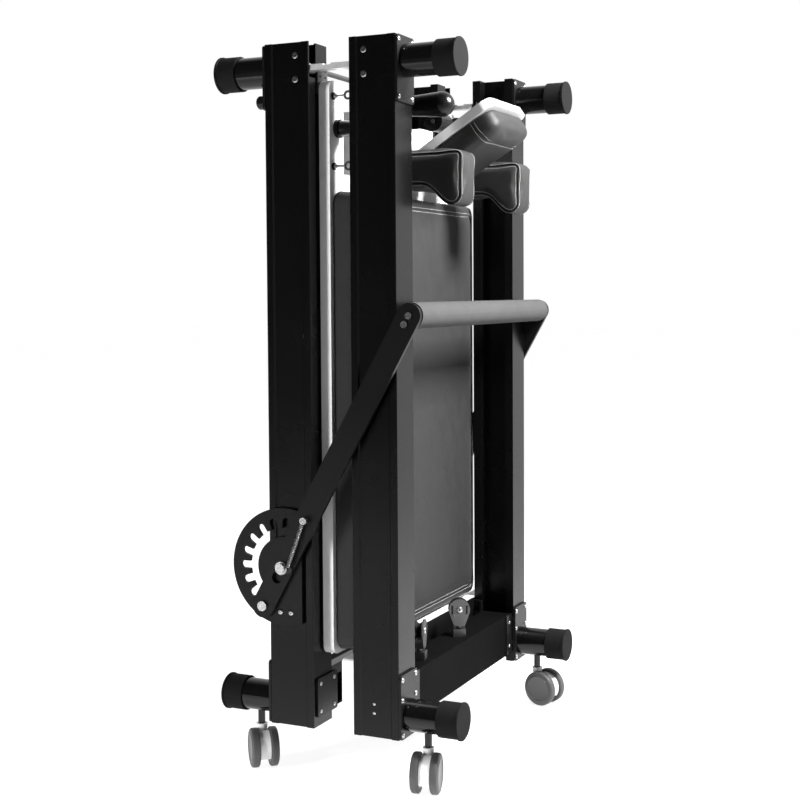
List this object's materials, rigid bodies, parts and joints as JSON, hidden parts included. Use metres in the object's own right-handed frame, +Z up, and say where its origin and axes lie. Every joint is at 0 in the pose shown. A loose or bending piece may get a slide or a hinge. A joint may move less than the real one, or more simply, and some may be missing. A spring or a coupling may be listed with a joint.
{
  "type": "pilates reformer",
  "caption": "Folding exercise reformer stored upright on casters: hinged rail frame, spring carriage with pads, tilting headrest and notched foot bar.",
  "frame": {"origin": "bottom centre of the bounding box, on the floor", "axes": "+X from the foot half to the head half, +Y across the bed away from the front, +Z up along the folded rails"},
  "size_m": [0.498, 0.723, 1.381],
  "materials": {
    "rail_black": "satin powder coat",
    "plate_black": "matte powder coat",
    "tube_black": "gloss paint",
    "cap_rubber": "matte, fine grain",
    "steel": "zinc plated",
    "cast_silver": "sand cast, polished edges",
    "dark_steel": "satin",
    "white_board": "white laminate with sealed edges",
    "leather": "grained, double stitched",
    "foam_grip": "soft foam, speckled",
    "black_plastic": "moulded",
    "caster_grey": "moulded",
    "caster_tyre": "matte",
    "roller_grey": "moulded"
  },
  "bodies": {
    "foot_half": {"foot_rail_near": "rail_black", "foot_rail_far": "rail_black", "foot_end_beam": "rail_black", "spring_bar": "dark_steel", "foot_plates": "plate_black", "foot_legs": "tube_black", "foot_leg_caps": "cap_rubber", "foot_knob": "black_plastic", "quadrant_near": "plate_black", "quadrant_far": "plate_black", "foot_bar_pivots": "steel", "foot_screws": "steel", "foot_hinge_leaves": "dark_steel", "fold_shaft": "dark_steel"},
    "fold_link": {"hinge_links": "cast_silver"},
    "head_half": {"head_rail_near": "rail_black", "head_rail_far": "rail_black", "head_end_beam": "rail_black", "platform_board": "white_board", "head_plates": "plate_black", "head_legs": "tube_black", "head_leg_caps": "cap_rubber", "head_screws": "steel", "head_corner_brackets": "plate_black", "head_hinge_leaves": "dark_steel", "head_hinge_pins": "steel", "pulley_posts": "cast_silver"},
    "pulley_near": {"pulley_block_near": "cast_silver"},
    "pulley_far": {"pulley_block_far": "cast_silver"},
    "sheave_near": {"pulley_sheave_near": "black_plastic"},
    "sheave_far": {"pulley_sheave_far": "black_plastic"},
    "bar_pivot": {"pivot_bushes": "black_plastic"},
    "foot_bar": {"foot_bar_arm_near": "plate_black", "foot_bar_arm_far": "plate_black", "foot_bar_tube": "dark_steel", "foot_bar_grip": "foam_grip", "foot_bar_fasteners": "steel", "foot_bar_springs": "steel"},
    "carriage": {"carriage_board": "white_board", "carriage_pad": "leather", "carriage_frame": "dark_steel", "carriage_fittings": "dark_steel", "carriage_grips": "black_plastic", "shoulder_rest_near": "leather", "shoulder_rest_far": "leather", "resistance_springs": "steel"},
    "rollers_upper": {"carriage_rollers_upper": "roller_grey"},
    "rollers_lower": {"carriage_rollers_lower": "roller_grey"},
    "headrest": {"headrest_board": "white_board", "headrest_pad": "leather", "headrest_prop": "dark_steel"},
    "headrest_roller": {"headrest_roller": "black_plastic"},
    "caster_fn": {"caster_fork_fn": "caster_grey"},
    "wheels_fn": {"caster_wheels_fn": "caster_tyre"},
    "caster_ff": {"caster_fork_ff": "caster_grey"},
    "wheels_ff": {"caster_wheels_ff": "caster_tyre"},
    "caster_hn": {"caster_fork_hn": "caster_grey"},
    "wheels_hn": {"caster_wheels_hn": "caster_tyre"},
    "caster_hf": {"caster_fork_hf": "caster_grey"},
    "wheels_hf": {"caster_wheels_hf": "caster_tyre"}
  },
  "joints": [
    {"name": "fold_foot_side", "type": "hinge", "parent": "foot_half", "child": "fold_link", "pos_m": [-0.048, 0, 1.333], "axis": [0, -1, 0], "range_deg": [0, 0.35]},
    {"name": "fold_head_side", "type": "hinge", "parent": "fold_link", "child": "head_half", "pos_m": [0.048, 0, 1.333], "axis": [0, -1, 0], "range_deg": [0, 0.35]},
    {"name": "foot_bar_swing", "type": "hinge", "parent": "foot_half", "child": "bar_pivot", "pos_m": [-0.1, 0, 0.399], "axis": [0, -1, 0], "range_deg": [-104, 0]},
    {"name": "foot_bar_pull", "type": "slide", "parent": "bar_pivot", "child": "foot_bar", "axis": [0.4879, 0, 0.8729], "range_m": [0, 0.022], "stiffness_N_per_m": 1500, "springref_m": -0.04},
    {"name": "carriage_slide", "type": "slide", "parent": "foot_half", "child": "carriage", "axis": [0, 0, 1], "range_m": [0, 0.26], "deforming": ["resistance_springs"]},
    {"name": "rollers_upper_spin", "type": "hinge", "parent": "carriage", "child": "rollers_upper", "pos_m": [-0.0885, 0, 1.031], "axis": [0, 1, 0], "range_deg": [0, 620]},
    {"name": "rollers_lower_spin", "type": "hinge", "parent": "carriage", "child": "rollers_lower", "pos_m": [-0.0885, 0, 0.321], "axis": [0, 1, 0], "range_deg": [0, 620]},
    {"name": "headrest_tilt", "type": "hinge", "parent": "carriage", "child": "headrest", "pos_m": [-0.01, 0, 1.1424], "axis": [0, 1, 0], "range_deg": [-57, 0]},
    {"name": "headrest_roller_spin", "type": "hinge", "parent": "headrest", "child": "headrest_roller", "pos_m": [0.0997, 0, 1.25267], "axis": [0, 1, 0], "continuous": true},
    {"name": "pulley_near_swivel", "type": "hinge", "parent": "head_half", "child": "pulley_near", "pos_m": [0.1, -0.165, 0.202], "axis": [0, 0, 1], "range_deg": [-40, 40]},
    {"name": "sheave_near_spin", "type": "hinge", "parent": "pulley_near", "child": "sheave_near", "pos_m": [0.1, -0.165, 0.2583], "axis": [0.9781, 0.2079, 0], "continuous": true},
    {"name": "pulley_far_swivel", "type": "hinge", "parent": "head_half", "child": "pulley_far", "pos_m": [0.1, 0.035, 0.202], "axis": [0, 0, 1], "range_deg": [-40, 40]},
    {"name": "sheave_far_spin", "type": "hinge", "parent": "pulley_far", "child": "sheave_far", "pos_m": [0.1, 0.035, 0.2583], "axis": [0.4695, -0.8829, 0], "continuous": true},
    {"name": "caster_fn_swivel", "type": "hinge", "parent": "foot_half", "child": "caster_fn", "pos_m": [-0.178, -0.299, 0.07], "axis": [0, 0, 1], "continuous": true},
    {"name": "wheels_fn_spin", "type": "hinge", "parent": "caster_fn", "child": "wheels_fn", "pos_m": [-0.16506, -0.31425, 0.0375], "axis": [0.7627, 0.6468, 0], "continuous": true},
    {"name": "caster_ff_swivel", "type": "hinge", "parent": "foot_half", "child": "caster_ff", "pos_m": [-0.178, 0.299, 0.07], "axis": [0, 0, 1], "continuous": true},
    {"name": "wheels_ff_spin", "type": "hinge", "parent": "caster_ff", "child": "wheels_ff", "pos_m": [-0.19532, 0.309, 0.0375], "axis": [-0.5, -0.866, 0], "continuous": true},
    {"name": "caster_hn_swivel", "type": "hinge", "parent": "head_half", "child": "caster_hn", "pos_m": [0.178, -0.299, 0.07], "axis": [0, 0, 1], "continuous": true},
    {"name": "wheels_hn_spin", "type": "hinge", "parent": "caster_hn", "child": "wheels_hn", "pos_m": [0.18257, -0.31847, 0.0375], "axis": [0.9736, 0.2284, 0], "continuous": true},
    {"name": "caster_hf_swivel", "type": "hinge", "parent": "head_half", "child": "caster_hf", "pos_m": [0.178, 0.299, 0.07], "axis": [0, 0, 1], "continuous": true},
    {"name": "wheels_hf_spin", "type": "hinge", "parent": "caster_hf", "child": "wheels_hf", "pos_m": [0.19724, 0.29355, 0.0375], "axis": [0.2723, 0.9622, 0], "continuous": true}
  ],
  "couplings": [
    {"joint": "fold_head_side", "follows": "fold_foot_side", "ratio": 1},
    {"joint": "rollers_upper_spin", "follows": "carriage_slide", "rad_per_m": 35.461},
    {"joint": "rollers_lower_spin", "follows": "carriage_slide", "rad_per_m": 35.461}
  ]
}
